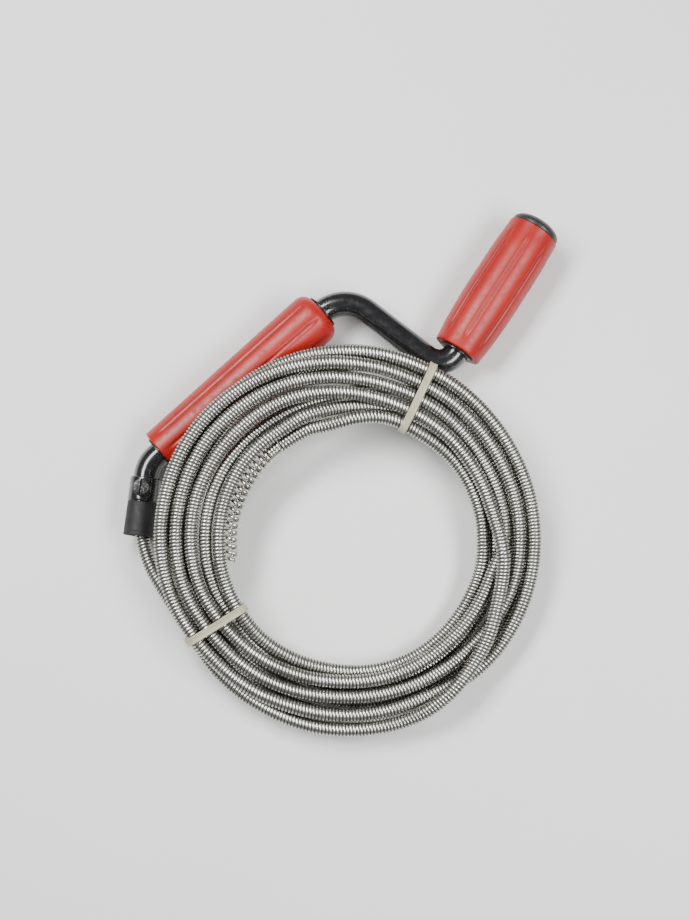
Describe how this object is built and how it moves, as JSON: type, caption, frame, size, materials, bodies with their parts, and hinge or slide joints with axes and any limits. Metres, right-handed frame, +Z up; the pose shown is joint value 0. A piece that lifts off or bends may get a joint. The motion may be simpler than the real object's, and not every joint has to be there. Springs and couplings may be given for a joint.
{
  "type": "drain auger",
  "caption": "Hand-cranked drain auger: a bent tube handle with turning grips, and a close-wound spring cable tied in a coil that ends in an open-wound head.",
  "frame": {"origin": "on the surface that the auger lies on, below the middle of the handle's own box (the handle without its cable)", "axes": "+Z up from the surface; +X along the handle's longest extent, from the spout to the rear grip; +Y from the coil towards the grips"},
  "size_m": [0.274, 0.3329, 0.0521],
  "materials": {
    "black_paint": "gloss black baked paint",
    "zinc_steel": "bright zinc plate",
    "black_oxide": "black oxide",
    "spring_wire": "zinc-plated spring wire",
    "brass": "turned brass",
    "red_plastic": "satin moulded plastic",
    "black_vinyl": "matte vinyl",
    "black_plastic": "satin moulded plastic",
    "nylon": "natural nylon"
  },
  "bodies": {
    "crank": {"crank_tube": "black_paint", "clamp_collar": "black_paint", "cable_root_ferrule": "zinc_steel", "spout_sleeve": "black_vinyl", "front_grip_washer_front": "black_oxide", "front_grip_washer_rear": "black_oxide", "rear_grip_washer": "black_oxide", "tube_end_insert": "zinc_steel", "rear_retaining_washer": "zinc_steel", "rear_retaining_screw": "zinc_steel", "cable_lead": "spring_wire", "cable_coil": "spring_wire", "cable_tail": "spring_wire", "auger_head": "spring_wire", "coil_tie_left": "nylon", "coil_tie_right": "nylon"},
    "front_grip": {"front_grip": "red_plastic"},
    "rear_grip": {"rear_grip": "red_plastic", "rear_end_plug": "black_plastic"},
    "clamp_pad": {"clamp_pad": "brass"},
    "clamp_screw": {"clamp_screw": "black_oxide"}
  },
  "joints": [
    {"name": "front_grip_spin", "type": "hinge", "parent": "crank", "child": "front_grip", "pos_m": [-0.11378, -0.04937, 0.01517], "axis": [0.7477, 0.6639, 0.0147], "continuous": true},
    {"name": "rear_grip_spin", "type": "hinge", "parent": "crank", "child": "rear_grip", "pos_m": [0.07242, 0.0148, 0.01736], "axis": [0.5431, 0.8395, 0.0159], "continuous": true},
    {"name": "clamp_travel", "type": "slide", "parent": "crank", "child": "clamp_pad", "axis": [-0.0068, -0.0145, 0.9999], "range_m": [0, 0.004]},
    {"name": "clamp_screw_turn", "type": "hinge", "parent": "clamp_pad", "child": "clamp_screw", "pos_m": [-0.12397, -0.07261, 0.01476], "axis": [-0.0068, -0.0145, 0.9999], "range_deg": [0, 1440]}
  ],
  "couplings": [
    {"joint": "clamp_screw_turn", "follows": "clamp_travel", "rad_per_m": 6283.2}
  ]
}
